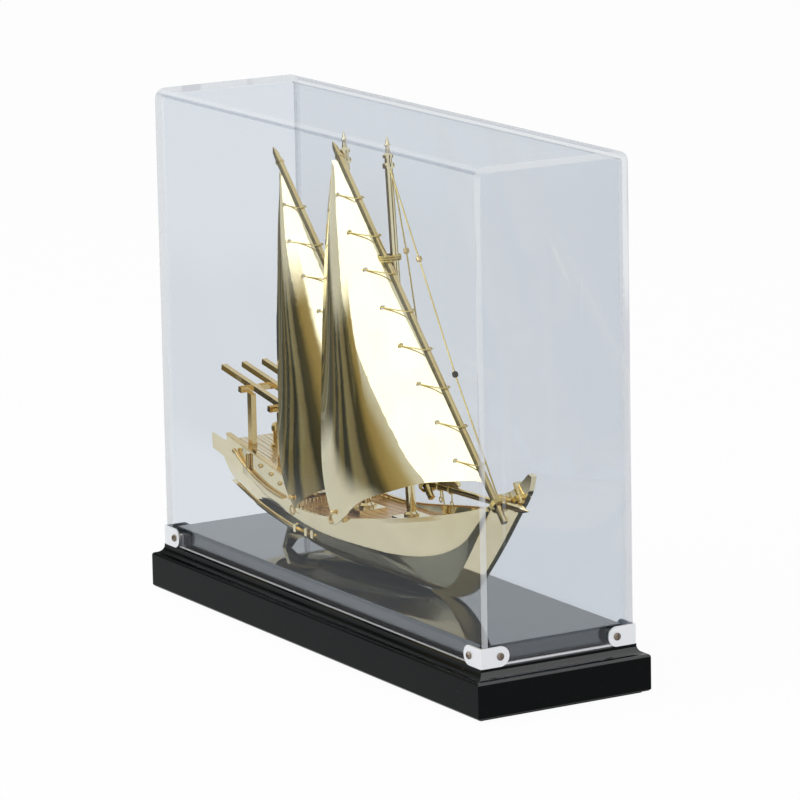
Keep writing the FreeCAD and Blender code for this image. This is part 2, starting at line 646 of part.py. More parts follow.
def make_rails(body, space, stem):
    """Gunwales, quarter panels, cap rails, mouldings, studs and wales."""
    sheer = [(s[0], s[1]) for s in HULL_STATIONS]
    rim = plan_band(HULL_WALL + RIM_INSIDE, RIM_PROUD)
    fore = box(MAIN_DECK[0][0], RIM_END, -HULL_REACH, 0, 0, CASE_HEIGHT)
    gunwale = rim.common(strip(sheer, RIM_DEPTH, RIM_HEIGHT, HULL_REACH)).common(fore).cut(body).cut(stem)
    both_sides("gunwale", gunwale)

    outline = lines(on_plane(WING_END + CAP_RAIL[:1]))
    outline += [spline(on_plane(CAP_RAIL)), spline(on_plane(CAP_RAIL[-1:] + PANEL_SWEEP))]
    outline += lines(on_plane(PANEL_SWEEP[-1:] + PANEL_UNDER + WING_END[:1]))
    panel = plan_band(HULL_WALL, 0).common(across(outline, HULL_REACH)).cut(body).cut(space)
    both_sides("quarter_panel", panel)
    rail = plan_band(HULL_WALL + CAP_INSIDE, RIM_PROUD).common(strip(CAP_RAIL, 0, CAP_HEIGHT, HULL_REACH))
    both_sides("cap_rail", rail)

    def on_side(point):
        return Vector(point[0], -(half_beam(point[0]) + MOULDING_RADIUS + MOULDING_GAP), point[1])

    moulding = pipe([Part.Arc(*[on_side(p) for p in MOULDING_LINE]).toShape()], MOULDING_RADIUS)
    scroll = pipe([Part.Arc(*[on_side(p) for p in SCROLL_LINE]).toShape()], MOULDING_RADIUS)
    knee = Part.makeSphere(MOULDING_RADIUS, on_side(SCROLL_LINE[0]))
    knob_place = on_side(SCROLL_LINE[-1]) - Vector(0, KNOB_PROUD, 0)
    knob = Part.makeSphere(KNOB_RADIUS, knob_place)
    pillar = rod(*[on_side(p) for p in PILLAR_LINE], MOULDING_RADIUS)
    both_sides("quarter_moulding", moulding.fuse([scroll, knee, knob, pillar]))

    studs = []
    for x, z in STUDS:
        root = Vector(x, -half_beam(x) + STUD_ROOT, z)
        studs.append(turned(root, root + Vector(0, -1, 0), STUD_PROFILE).cut(panel))
    studs += [mirror_y(stud) for stud in studs]
    export("quarter_studs", Part.makeCompound(studs))

    proud = body.copy()
    proud.translate(Vector(-WALE_OVERHANG, -WALE_PROUD, 0))
    starboard = box(-CASE_LENGTH, CASE_LENGTH, -HULL_REACH, -WALE_INSIDE, 0, CASE_HEIGHT)
    wale = strip(WALE_LINE, WALE_HEIGHT / 2, WALE_HEIGHT / 2, HULL_REACH)
    wale = wale.common(starboard).common(proud).cut(body)
    both_sides("wale", wale)
    blocks = [box(x - BLOCK_HALF_LENGTH, x + BLOCK_HALF_LENGTH, *BLOCK_Y, *BLOCK_Z).cut(body).cut(wale)
              for x in WALE_BLOCKS]
    blocks += [mirror_y(block) for block in blocks]
    export("wale_blocks", Part.makeCompound(blocks))

    rings = []
    for x, z in RING_PLACES:
        offset = half_beam(x) + RIM_PROUD + RING_WIRE + RING_GAP
        rings.append(Part.makeTorus(RING_RADIUS, RING_WIRE, Vector(x, -offset, z), Vector(0, 1, 0)))
    export("sheet_rings", Part.makeCompound(rings))
    return body.fuse(gunwale)


def make_stand(body):
    """Trestle that carries the stern on the pad."""
    inner_foot, outer_foot = [(y, PAD_TOP) for y in TRESTLE_FOOT]
    port = [TRESTLE_ARCH, inner_foot, outer_foot, TRESTLE_HEAD]
    ring = [(0, y, z) for y, z in port] + [(0, -y, z) for y, z in reversed(port)]
    trestle = face_of(lines(ring + ring[:1])).extrude(Vector(TRESTLE_WIDTH, 0, 0))
    trestle.translate(Vector(TRESTLE_X - TRESTLE_WIDTH / 2, 0, 0))
    export("stern_trestle", trestle.cut(body))


def make_shelter():
    """Slatted roof on four posts over the poop."""
    tilt = Placement(SHELTER_ORIGIN, Rotation(Vector(0, 1, 0), SHELTER_TILT))

    def tilted(solid):
        solid.Placement = tilt
        return solid

    slats = [tilted(box(SLAT_REACH[0], SLAT_REACH[1], y - SLAT_SIZE / 2, y + SLAT_SIZE / 2, 0, SLAT_SIZE))
             for y in [SLAT_SPACING * k for k in (-1.5, -0.5, 0.5, 1.5)]]
    export("shelter_slats", Part.makeCompound(slats))
    beams = [tilted(box(x - SLAT_SIZE / 2, x + SLAT_SIZE / 2, -BEAM_REACH, BEAM_REACH, -SLAT_SIZE, 0))
             for x in BEAM_PLACES]
    export("shelter_beams", Part.makeCompound(beams))
    room = tilted(box(-ROOM, ROOM, -HULL_REACH, HULL_REACH, -ROOM, -SLAT_SIZE))
    ground = below_deck(POOP_DECK)
    posts = []
    for place in BEAM_PLACES:
        x = SHELTER_ORIGIN.x + place + POST_SHIFT
        for y in (-1.5 * SLAT_SPACING, 1.5 * SLAT_SPACING):
            post = box(x - POST_LENGTH_X / 2, x + POST_LENGTH_X / 2, y - POST_WIDTH_Y / 2, y + POST_WIDTH_Y / 2,
                       PAD_TOP, SHELTER_ORIGIN.z + SLAT_SIZE)
            posts.append(post.common(room).cut(ground))
    export("shelter_posts", Part.makeCompound(posts))
    foot = Vector(HELM_X, 0, deck_height(POOP_DECK, HELM_X) - HELM_SEAT)
    export("helm_post", turned(foot, foot + Vector(0, 0, 1), HELM_PROFILE).cut(ground))


# Ship: masts, yards, sails and rigging

def mast(line):
    """Tapered mast with turned rings and a spire at its head."""
    length = (line[1] - line[0]).Length
    head = length - MAST_HEAD_LENGTH
    rings = [(head + up, MAST_HEAD_RADIUS + proud) for up, proud in MAST_RINGS]
    return turned(line[0], line[1], [(0, MAST_FOOT_RADIUS)] + rings + [(length, POINT_RADIUS)])


def yard(line):
    """Round yard with a square-cut foot and a collared point at its peak."""
    length = (line[1] - line[0]).Length
    shoulder = length - YARD_POINT
    neck = shoulder + YARD_COLLAR_LENGTH
    r = YARD_RADIUS
    collar_radius = r + YARD_COLLAR_PROUD
    profile = [(0, r - SPAR_CHAMFER), (SPAR_CHAMFER, r), (shoulder, r), (shoulder, collar_radius),
               (neck, collar_radius), (neck, r), (length - YARD_TAPER, r - SPAR_CHAMFER), (length, POINT_RADIUS)]
    return turned(line[0], line[1], profile)


def step_block(x, top, ground):
    """Mast step with a seat cut to the deck."""
    block = box(x - STEP_HALF_LENGTH, x + STEP_HALF_LENGTH, -STEP_HALF_WIDTH, STEP_HALF_WIDTH, PAD_TOP, top)
    return block.cut(ground)


def collar(line, height, step):
    """Turned ring round a mast's foot."""
    foot = at_height(line, height - COLLAR_SEAT)
    ring = turned(foot, line[1], [(up, MAST_FOOT_RADIUS + proud) for up, proud in COLLAR_PROFILE])
    return ring.cut(mast(line)).cut(step)


def luff_point(line, z):
    """Edge of the sail beside its yard, level with one height of the yard."""
    way = (line[1] - line[0]).normalize()
    inward = Vector(-way.z, 0, way.x).normalize()
    return at_height(line, z) + inward * LUFF_GAP


def along(points, t):
    """Point at a share of the way along a smooth edge through the points."""
    edge = spline(points)
    return edge.valueAt(edge.FirstParameter + t * (edge.LastParameter - edge.FirstParameter))


def sail_grid(line, luff_z, leech, foot):
    """Rows of points from head to foot, each from the leech to the luff, blended from the four edges."""
    tack = luff_point(line, luff_z[1])
    lower = foot + [tuple(tack)]
    head = [Vector(*leech[0]), luff_point(line, luff_z[0])]
    rows = []
    for i in range(SAIL_ROWS + 1):
        u = i / SAIL_ROWS
        left = along(leech, u)
        right = luff_point(line, luff_z[0] + (luff_z[1] - luff_z[0]) * u)
        row = []
        for j in range(SAIL_COLUMNS + 1):
            v = j / SAIL_COLUMNS
            across_edge = left * (1 - v) + right * v
            head_point = head[0] * (1 - v) + head[1] * v
            down_edge = head_point * (1 - u) + along(lower, v) * u
            foot_point = Vector(*leech[-1]) * (1 - v) + tack * v
            corners = head_point * (1 - u) + foot_point * u
            billow = SAIL_BILLOW * math.sin(math.pi * v) * 4 * u * (1 - u)
            row.append(across_edge + down_edge - corners - Vector(0, billow, 0))
        rows.append(row)
    return rows


def sail_surface(rows):
    """Smooth surface through the rows."""
    surface = Part.BSplineSurface()
    surface.interpolate(rows)
    return surface


def eyelet_points(surface):
    """Points on the sail a little inside its luff, evenly spaced down the yard."""
    points = []
    for k in range(EYELET_COUNT):
        u = EYELET_FIRST + k * EYELET_PITCH
        width = (surface.value(u, 0) - surface.value(u, 1)).Length
        v = 1 - min(EYELET_INSET, EYELET_SHARE * width) / width
        points.append(surface.value(u, v))
    return points


def sail(surface, eyelets, clew):
    """Thin sheet with lacing holes along the luff and one at the clew."""
    sheet = surface.toShape().extrude(Vector(0, SAIL_THICKNESS, 0))
    places = [(p, EYELET_RADIUS) for p in eyelets] + [(clew, CLEW_HOLE)]
    reach = Vector(0, PUNCH_REACH, 0)
    return sheet.cut(Part.makeCompound([rod(p - reach, p + reach, radius) for p, radius in places]))


def lacing(line, eyelets):
    """One cord loop round the yard through each eyelet."""
    level = Vector(0, 0, 1)
    reach = YARD_RADIUS * math.sqrt(2) + LACING_RADIUS + LACING_GAP
    bend = EYELET_RADIUS - LACING_RADIUS - LACING_EASE
    half = Vector(0, SAIL_THICKNESS / 2, 0)
    loops = [strap(at_height(line, p.z), reach, p + half, bend, level, LACING_RADIUS) for p in eyelets]
    return Part.makeCompound(loops)


def yard_lashing(mast_line, yard_line, z):
    """Three turns of cord that hold a yard to its mast."""
    mast_bend = MAST_FOOT_RADIUS + LASHING_RADIUS + LASHING_MAST_GAP
    yard_bend = YARD_RADIUS * math.sqrt(2) + LASHING_RADIUS + LASHING_YARD_GAP
    turns = []
    for k in (-1, 0, 1):
        height = z + k * LASHING_PITCH
        turns.append(strap(at_height(mast_line, height), mast_bend, at_height(yard_line, height), yard_bend,
                           Vector(0, 0, 1), LASHING_RADIUS))
    return Part.makeCompound(turns)


def crossing_lashing(first, second, x):
    """Three turns of cord round two crossing spars, side by side along their mean direction."""
    a = at_length(first, x)
    b = at_length(second, x)
    way = (first[1] - first[0]).normalize() + (second[0] - second[1]).normalize()
    apart = Vector(0, b.y - a.y, 0)
    normal = Vector(way.x, 0, way.z).normalize()
    turns = []
    for k in (-1, 0, 1):
        middle = Vector(a.x, a.y, (a.z + b.z) / 2) + normal * (k * CROSSING_PITCH)
        turns.append(strap(middle, BOWSPRIT_RADIUS * CROSSING_WIDTH + LASHING_RADIUS, middle + apart,
                           YARD_RADIUS * CROSSING_WIDTH + LASHING_RADIUS, normal, LASHING_RADIUS))
    return Part.makeCompound(turns)


def clew_hook(clew, rim):
    """Hook that stands on the gunwale and holds the sail's lower corner by its hole."""
    inner = Vector(clew.x, -half_beam(clew.x) + CLEW_INSIDE, clew.z)
    reach = -clew.y + inner.y + CLEW_PAST
    knob = [(reach + out, radius) for out, radius in CLEW_KNOB]
    arm = turned(inner, inner - Vector(0, 1, 0), [(0, CLEW_PIN_RADIUS), (reach, CLEW_PIN_RADIUS)] + knob)
    post = rod(inner - Vector(0, 0, CLEW_POST), inner, CLEW_PIN_RADIUS)
    hook = post.multiFuse([arm, Part.makeSphere(CLEW_PIN_RADIUS, inner)]).cut(rim)
    return max(hook.Solids, key=lambda solid: solid.Volume)


def hanging_hook(x, drop):
    """Wire that loops over the bowsprit and hangs down to a small ring."""
    middle = at_length(BOWSPRIT, x)
    way = (BOWSPRIT[1] - BOWSPRIT[0]).normalize()
    loop = Part.makeTorus(BOWSPRIT_RADIUS + HOOK_WIRE + HOOK_EASE, HOOK_WIRE, middle, way)
    top = middle - Vector(0, 0, BOWSPRIT_RADIUS + HOOK_WIRE)
    low = top - Vector(0, 0, drop)
    ring = Part.makeTorus(HOOK_RING, HOOK_WIRE, low - Vector(0, 0, HOOK_RING), Vector(0, 1, 0))
    return loop.multiFuse([rod(top, low, HOOK_WIRE), ring])


def wire(points):
    """Thin line of straight spans with rounded joints."""
    spots = [Vector(*p) for p in points]
    pieces = [rod(a, b, STAY_RADIUS) for a, b in zip(spots, spots[1:])]
    joints = [Part.makeSphere(STAY_RADIUS, p) for p in spots[1:-1]]
    return pieces[0].multiFuse(pieces[1:] + joints)


def bead(before, place, stay):
    """Small turned bead threaded on a stay."""
    start = Vector(*place)
    way = (start - Vector(*before)).normalize()
    r = BEAD_RADIUS
    solid = turned(start - way * r, start, [(0, r * 0.6), (r * 0.4, r), (r * 1.6, r), (r * 2, r * 0.6)])
    return solid.cut(stay)


def make_rig(rim):
    """Masts, yards, sails, bowsprit and cordage."""
    ground = below_deck(MAIN_DECK)
    collars = []
    hooks = []
    for name, line, top in (("main", MAIN_MAST, MAIN_STEP_TOP), ("mizzen", MIZZEN_MAST, MIZZEN_STEP_TOP)):
        step = step_block(at_height(line, top).x, top, ground)
        export(name + "_mast_step", step)
        export(name + "_mast", mast(line).cut(step))
        collars.append(collar(line, top, step))
    export("mast_collars", Part.makeCompound(collars))

    for name, line, luff_z, leech, foot in (
            ("main", MAIN_YARD, MAIN_LUFF_Z, MAIN_LEECH, MAIN_FOOT),
            ("mizzen", MIZZEN_YARD, MIZZEN_LUFF_Z, MIZZEN_LEECH, MIZZEN_FOOT)):
        surface = sail_surface(sail_grid(line, luff_z, leech, foot))
        eyelets = eyelet_points(surface)
        clew = surface.value(*CLEW_PLACE)
        export(name + "_yard", yard(line))
        export(name + "_sail", sail(surface, eyelets, clew))
        export(name + "_sail_lacing", lacing(line, eyelets))
        hooks.append(clew_hook(clew, rim))
    export("clew_hooks", Part.makeCompound(hooks))

    export("main_yard_lashing", yard_lashing(MAIN_MAST, MAIN_YARD, MAIN_LASHING_Z))
    export("mizzen_yard_lashing", yard_lashing(MIZZEN_MAST, MIZZEN_YARD, MIZZEN_LASHING_Z))

    length = (BOWSPRIT[1] - BOWSPRIT[0]).Length
    shoulder = length - BOWSPRIT_POINT
    r = BOWSPRIT_RADIUS
    spar = turned(BOWSPRIT[0], BOWSPRIT[1], [(0, r - SPAR_CHAMFER), (SPAR_CHAMFER, r), (shoulder, r),
                                             (shoulder + BOWSPRIT_COLLAR[0], r + BOWSPRIT_COLLAR[1]),
                                             (length - BOWSPRIT_POINT / 2, r), (length, POINT_RADIUS)])
    export("bowsprit", spar)
    export("prow_lashing", crossing_lashing(BOWSPRIT, MAIN_YARD, PROW_CROSSING_X))
    export("heel_lashing", crossing_lashing(BOWSPRIT, MIZZEN_YARD, HEEL_CROSSING_X))

    heel_a, heel_b = [at_length(BOWSPRIT, x) + Vector(0, 0, 2 * r + HEEL_GAP) for x in HEEL_SPAR_X]
    reach = (heel_b - heel_a).Length
    heel = turned(heel_a, heel_b, [(0, r - HEEL_ROUNDING), (HEEL_ROUNDING, r), (reach - HEEL_NOSE[0], r),
                                   (reach - HEEL_NOSE[1], r - HEEL_ROUNDING), (reach, POINT_RADIUS)])
    export("heel_spar", heel)
    export("bowsprit_hooks", Part.makeCompound([hanging_hook(x, drop).cut(heel) for x, drop in HOOK_PLACES]))

    forestay = wire(FORESTAY).cut(mast(MAIN_MAST)).cut(spar)
    halyard = wire(HALYARD).cut(mast(MAIN_MAST)).cut(ground)
    export("forestay", forestay)
    export("halyard", halyard)
    beads = [bead(FORESTAY[0], FORESTAY[1], forestay), bead(FORESTAY[1], FORESTAY[2], forestay),
             bead(HALYARD[0], HALYARD[1], halyard)]
    export("rigging_beads", Part.makeCompound(beads))


make_case()
make_fixings()
HULL_BODY = hull_block()
HULL_SPACE = hollow()
HULL_STEM = make_hull(HULL_BODY, HULL_SPACE)
HULL_RIM = make_rails(HULL_BODY, HULL_SPACE, HULL_STEM)
make_stand(HULL_BODY)
make_shelter()
make_rig(HULL_RIM)
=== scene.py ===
import json
import logging
import math
from dataclasses import dataclass, field
from enum import Enum
from typing import Any, Callable, Dict, List, Optional, Sequence, Tuple, Union

import bmesh
import bpy
from mathutils import Matrix, Vector


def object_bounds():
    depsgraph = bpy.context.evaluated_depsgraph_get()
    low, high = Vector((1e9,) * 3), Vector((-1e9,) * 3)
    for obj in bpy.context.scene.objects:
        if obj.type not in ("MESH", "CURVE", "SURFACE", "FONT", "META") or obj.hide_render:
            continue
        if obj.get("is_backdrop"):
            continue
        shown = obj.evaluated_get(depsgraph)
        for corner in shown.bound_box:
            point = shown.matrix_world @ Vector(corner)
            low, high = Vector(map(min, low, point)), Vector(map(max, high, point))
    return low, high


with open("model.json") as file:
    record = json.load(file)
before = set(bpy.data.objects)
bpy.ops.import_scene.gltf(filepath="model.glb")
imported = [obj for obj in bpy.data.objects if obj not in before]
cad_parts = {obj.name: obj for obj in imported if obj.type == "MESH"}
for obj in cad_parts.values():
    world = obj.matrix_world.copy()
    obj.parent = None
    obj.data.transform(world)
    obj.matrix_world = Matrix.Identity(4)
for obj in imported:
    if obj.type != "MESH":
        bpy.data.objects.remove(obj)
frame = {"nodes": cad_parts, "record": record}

LOG = logging.getLogger("display_case")
MM = 0.001
WELD_REACH = 0.002 * MM
QUARTER_TURN = 90.0
Triple = Tuple[float, float, float]
Colour = Triple
Span = Tuple[float, float]
WHITE: Colour = (1.0, 1.0, 1.0)


class Ray(Enum):
    """Kinds of ray that see the studio's plain white."""

    CAMERA = "Is Camera Ray"
    GLOSSY = "Is Glossy Ray"
    TRANSMISSION = "Is Transmission Ray"


class Axis(Enum):
    """Directions of the case, by the number of their coordinate."""

    ALONG = 0
    ACROSS = 1
    UP = 2


class Face(Enum):
    """Kinds of face on the cover, by the number of their finish."""

    PANE = 0
    CUT = 1
    BEND_LIGHT = 2
    BEND_SHADE = 3
    FOOT = 4


class BoardPart(Enum):
    """The two parts of the studio's bent board, by their names."""

    FRONT = "board_front"
    SIDE = "board_side"


@dataclass(frozen=True)
class Grain:
    """One noise pattern on Object coordinates.

    The scale is in cells per metre and the detail in octaves. Stretch and turn, in radians, shape the
    coordinates along and about each axis before the noise.
    """

    scale: float
    detail: float
    stretch: Triple = (1.0, 1.0, 1.0)
    turn: Triple = (0.0, 0.0, 0.0)
    roughness: float = 0.55


class Socket:
    """One output of a shader node, with the arithmetic that its values need."""

    def __init__(self, graph: "Graph", output: bpy.types.NodeSocket) -> None:
        """Keep the node tree and the output.

        Args:
            graph: the material's graph.
            output: the output socket of a node in it.
        """
        self.graph = graph
        self.output = output

    def _math(self, operation: str, first: Any, second: Any) -> "Socket":
        """One Math node on two values."""
        return self.graph.node("ShaderNodeMath", {"operation": operation}, {0: first, 1: second})

    def __add__(self, other: Any) -> "Socket":
        """Sum."""
        return self._math("ADD", self, other)

    def __radd__(self, other: Any) -> "Socket":
        """Sum, reflected."""
        return self._math("ADD", other, self)

    def __sub__(self, other: Any) -> "Socket":
        """Difference."""
        return self._math("SUBTRACT", self, other)

    def __rsub__(self, other: Any) -> "Socket":
        """Difference, reflected."""
        return self._math("SUBTRACT", other, self)

    def __mul__(self, other: Any) -> "Socket":
        """Product."""
        return self._math("MULTIPLY", self, other)

    def __rmul__(self, other: Any) -> "Socket":
        """Product, reflected."""
        return self._math("MULTIPLY", other, self)

    def at_most(self, other: Any) -> "Socket":
        """The smaller of two values."""
        return self._math("MINIMUM", self, other)

    def at_least(self, other: Any) -> "Socket":
        """The larger of two values."""
        return self._math("MAXIMUM", self, other)

    def fraction(self) -> "Socket":
        """Part behind the point."""
        return self._math("FRACT", self, 0.0)

    def size(self) -> "Socket":
        """Value without its sign."""
        return self._math("ABSOLUTE", self, 0.0)


Value = Union[Socket, float, Sequence[float]]


class Graph:
    """Node tree of one material or world."""

    def __init__(self, owner: Union[bpy.types.Material, bpy.types.World]) -> None:
        """Start an empty tree.

        Args:
            owner: the material or world that the tree belongs to.
        """
        owner.use_nodes = True
        self.tree = owner.node_tree
        self.tree.nodes.clear()

    def node(self, kind: str, settings: Optional[Dict[str, Any]] = None,
             inputs: Optional[Dict[Any, Value]] = None, output: Any = 0) -> Socket:
        """Add one node.

        Args:
            kind: the node's type name.
            settings: attributes that are set first; "stops" are a ramp's (place, colour) pairs.
            inputs: socket names or numbers with their values or links.
            output: name or number of the output that is returned.

        Returns:
            The chosen output, wrapped.
        """
        made = self.tree.nodes.new(kind)
        for name, value in (settings or {}).items():
            if name == "stops":
                self._stops(made.color_ramp, value)
            else:
                setattr(made, name, value)
        for name, value in (inputs or {}).items():
            target = made.inputs[name]
            if isinstance(value, Socket):
                self.tree.links.new(value.output, target)
            else:
                target.default_value = value
        outputs = made.outputs
        return Socket(self, outputs[output]) if len(outputs) else Socket(self, made.inputs[0])

    @staticmethod
    def _stops(ramp: bpy.types.ColorRamp, stops: Sequence[Tuple[float, Colour]]) -> None:
        """Give a ramp its stops."""
        while len(ramp.elements) < len(stops):
            ramp.elements.new(1.0)
        for element, (place, colour) in zip(ramp.elements, stops):
            element.position = place
            element.color = (*colour, 1.0)

    def coordinates(self, stretch: Triple = (1.0, 1.0, 1.0), turn: Triple = (0.0, 0.0, 0.0)) -> Socket:
        """Object coordinates, stretched and turned.

        Args:
            stretch: factor along each axis.
            turn: angles about each axis, in radians.

        Returns:
            The mapped vector.
        """
        place = self.node("ShaderNodeTexCoord", output="Object")
        return self.node("ShaderNodeMapping", inputs={"Vector": place, "Scale": stretch, "Rotation": turn})

    def place(self, axis: Axis) -> Socket:
        """One of the Object coordinates, in metres."""
        return self.node("ShaderNodeSeparateXYZ", inputs={0: self.coordinates()}, output=axis.value)

    def noise(self, grain: Grain) -> Socket:
        """Soft noise from 0 to 1.

        Args:
            grain: the pattern.

        Returns:
            The noise value.
        """
        return self.node("ShaderNodeTexNoise", inputs={
            "Vector": self.coordinates(grain.stretch, grain.turn), "Scale": grain.scale,
            "Detail": grain.detail, "Roughness": grain.roughness})

    def ramp(self, value: Socket, low: Value, high: Value) -> Socket:
        """Smooth step of a value between two limits.

        Args:
            value: what is stepped.
            low: where the result is 0.
            high: where the result is 1.

        Returns:
            The stepped value.
        """
        return self.node("ShaderNodeMapRange", {"interpolation_type": "SMOOTHSTEP"},
                         {"Value": value, "From Min": low, "From Max": high, "To Min": 0.0, "To Max": 1.0})

    def blend(self, share: Value, first: Value, second: Value) -> Socket:
        """Colour between two colours.

        Args:
            share: 0 for the first, 1 for the second.
            first: the first colour.
            second: the second colour.

        Returns:
            The mixed colour.
        """
        return self.node("ShaderNodeMix", {"data_type": "RGBA"}, {0: share, 6: first, 7: second}, output=2)

    def bump(self, height: Socket, strength: float, depth: float) -> Socket:
        """Normal that a height bends.

        Args:
            height: the height.
            strength: how much of it counts.
            depth: metres for a height of 1.

        Returns:
            The normal.
        """
        return self.node("ShaderNodeBump", inputs={"Height": height, "Strength": strength, "Distance": depth})

    def mix(self, share: Value, first: Socket, second: Socket) -> Socket:
        """Shader between two shaders, from the first at 0 to the second at 1."""
        return self.node("ShaderNodeMixShader", inputs={0: share, 1: first, 2: second})

    def seen(self, *rays: Ray) -> Socket:
        """One for rays of these kinds, else nought.

        Args:
            rays: the kinds that count.

        Returns:
            The mask.
        """
        mask, *others = (self.node("ShaderNodeLightPath", output=ray.value) for ray in rays)
        for other in others:
            mask = mask.at_least(other)
        return mask

    def surface(self, shader: Socket) -> None:
        """Join a shader to the material's output."""
        self.node("ShaderNodeOutputMaterial", inputs={"Surface": shader})


def rgba(colour: Colour) -> Tuple[float, float, float, float]:
    """Colour with full alpha."""
    return (*colour, 1.0)


@dataclass(frozen=True)
class Finish:
    """What every finish has: a name, and a material made from its shader."""

    name: str

    def shader(self, graph: Graph) -> Socket:
        """The finish's shader, which each kind of finish makes in its own way."""
        raise NotImplementedError(self.name)

    def material(self) -> bpy.types.Material:
        """Make the material."""
        made = bpy.data.materials.new(self.name)
        graph = Graph(made)
        graph.surface(self.shader(graph))
        return made


@dataclass(frozen=True)
class Gilt(Finish):
    """Polished gilt metal with faint cloudiness in its gloss.

    A lean above nought tips its mirror upwards, as a side with less flare would stand, and one below nought
    tips it down. With a rise, the lean grows with height, from nought at the first height to its full amount
    at the second. A painted shade darkens the side that looks one way, in place of the dark reflections
    there.
    """

    colour: Colour
    shade: Colour
    roughness: float
    cloud: float = 0.03
    lean: float = 0.0
    lean_rise: Optional[Span] = None
    # Painted shade: a dark colour laid on the side whose normal looks along the given way, standing in for
    # dark reflections.
    painted_shade: Optional[Colour] = None
    painted_shade_edge: Span = (0.0, 0.15)
    painted_shade_way: Triple = (-0.4, -0.83, -0.38)
    clouds: Grain = Grain(55.0, 3.0)
    cloud_edge: Span = (0.35, 0.75)

    def _with_painted_shade(self, graph: Graph, colour: Socket) -> Socket:
        """Colour with painted shade on the side that looks its way."""
        facing = graph.node("ShaderNodeTexCoord", output="Normal")
        looking = graph.node("ShaderNodeVectorMath", {"operation": "DOT_PRODUCT"},
                             {0: facing, 1: self.painted_shade_way}, output=1)
        return graph.blend(graph.ramp(looking, *self.painted_shade_edge), colour, rgba(self.painted_shade))

    def _tipped(self, graph: Graph) -> Socket:
        """Normal of the tipped mirror."""
        height = graph.place(Axis.UP)
        if self.lean_rise:
            start, full = self.lean_rise
            above = height - start
            height = above * above * (0.5 / (full - start))
        return graph.bump(height * -self.lean, 1.0, 1.0)

    def shader(self, graph: Graph) -> Socket:
        """Mirror metal."""
        cloud = graph.noise(self.clouds)
        colour = graph.blend(graph.ramp(cloud, *self.cloud_edge), rgba(self.colour), rgba(self.shade))
        # Painted shade on one side of the piece, chosen by its normal.
        if self.painted_shade:
            colour = self._with_painted_shade(graph, colour)
        inputs = {"Base Color": colour, "Metallic": 1.0, "Roughness": cloud * self.cloud + self.roughness}
        if self.lean:
            inputs["Normal"] = self._tipped(graph)
        return graph.node("ShaderNodeBsdfPrincipled", inputs=inputs)


@dataclass(frozen=True)
class Lacquer(Finish):
    """Black gloss coat with a little dust."""

    colour: Colour
    dust: Colour
    roughness: float
    specular: float
    dust_amount: float
    coat: float
    sheen: Colour = WHITE
    coat_roughness: float = 0.02
    specks: Grain = Grain(900.0, 1.0)
    speck_edge: Span = (0.72, 0.8)
    wipes: Grain = Grain(30.0, 4.0, (1.0, 4.0, 1.0))
    wipe_depth: float = 0.05

    def shader(self, graph: Graph) -> Socket:
        """Gloss black with specks and wiped streaks."""
        specks = graph.ramp(graph.noise(self.specks), *self.speck_edge) * self.dust_amount
        return graph.node("ShaderNodeBsdfPrincipled", inputs={
            "Base Color": graph.blend(specks, rgba(self.colour), rgba(self.dust)),
            "Roughness": graph.noise(self.wipes) * self.wipe_depth + self.roughness,
            "Specular IOR Level": self.specular, "Specular Tint": rgba(self.sheen),
            "Coat Weight": self.coat, "Coat Roughness": self.coat_roughness})


@dataclass(frozen=True)
class Planks(Finish):
    """Satin gilt deck with fine lines between its planks."""

    colour: Colour
    shade: Colour
    line: Colour
    roughness: float
    width: float = 0.0026
    gap: float = 0.1
    grain: Grain = Grain(160.0, 3.0, (0.15, 1.0, 1.0))
    grain_depth: float = 0.1
    seam_strength: float = 0.35
    seam_depth: float = 0.0003

    def shader(self, graph: Graph) -> Socket:
        """Satin metal, cut by the planks' seams."""
        within = (graph.place(Axis.ACROSS) * (1.0 / self.width)).fraction()
        plank = 1.0 - graph.ramp((within - 0.5).size(), 0.5 - self.gap, 0.5)
        grain = graph.noise(self.grain)
        colour = graph.blend(grain, rgba(self.colour), rgba(self.shade))
        return graph.node("ShaderNodeBsdfPrincipled", inputs={
            "Base Color": graph.blend(plank, rgba(self.line), colour), "Metallic": 1.0,
            "Roughness": grain * self.grain_depth + self.roughness,
            "Normal": graph.bump(plank, self.seam_strength, self.seam_depth)})


@dataclass(frozen=True)
class Acrylic(Finish):
    """Clear sheet: a tinted see-through body under a polished skin.

    The skin shows more where the sheet is seen along its face, on scratches, and at the foot, where a painted
    highlight line stands for the ledge below lighting it and a painted pale band for the pad's haze.
    """

    tint: Colour
    gloss: Colour
    roughness: float
    metallic: float
    haze: float
    shine: float
    scratches: float = 0.0
    foot_glow: float = 0.0
    foot_haze: float = 0.0
    foot_line: Span = (0.0224, 0.0231)
    foot_band: Span = (0.0295, 0.0305)
    index: float = 1.42
    lines: Grain = Grain(260.0, 1.0, (1.0, 1.0, 0.02), (math.radians(28.0), 0.0, 0.0))
    line_edge: Span = (0.74, 0.8)

    def shader(self, graph: Graph) -> Socket:
        """See-through body and polished skin."""
        clear = graph.node("ShaderNodeBsdfTransparent", inputs={"Color": rgba(self.tint)})
        skin = graph.node("ShaderNodeBsdfPrincipled", inputs={
            "Base Color": rgba(self.gloss), "Metallic": self.metallic, "Roughness": self.roughness})
        facing = graph.node("ShaderNodeFresnel", inputs={"IOR": self.index})
        scratch = graph.ramp(graph.noise(self.lines), *self.line_edge) * self.scratches
        height = graph.place(Axis.UP)
        # Painted highlight: a line along the foot where the skin shows more.
        line = (1.0 - graph.ramp(height, *self.foot_line)) * self.foot_glow
        # Painted haze: a pale band just above the foot.
        band = (1.0 - graph.ramp(height, *self.foot_band)) * self.foot_haze
        share = (facing * self.shine + self.haze + scratch + line + band).at_most(1.0)
        return graph.mix(share, clear, skin)


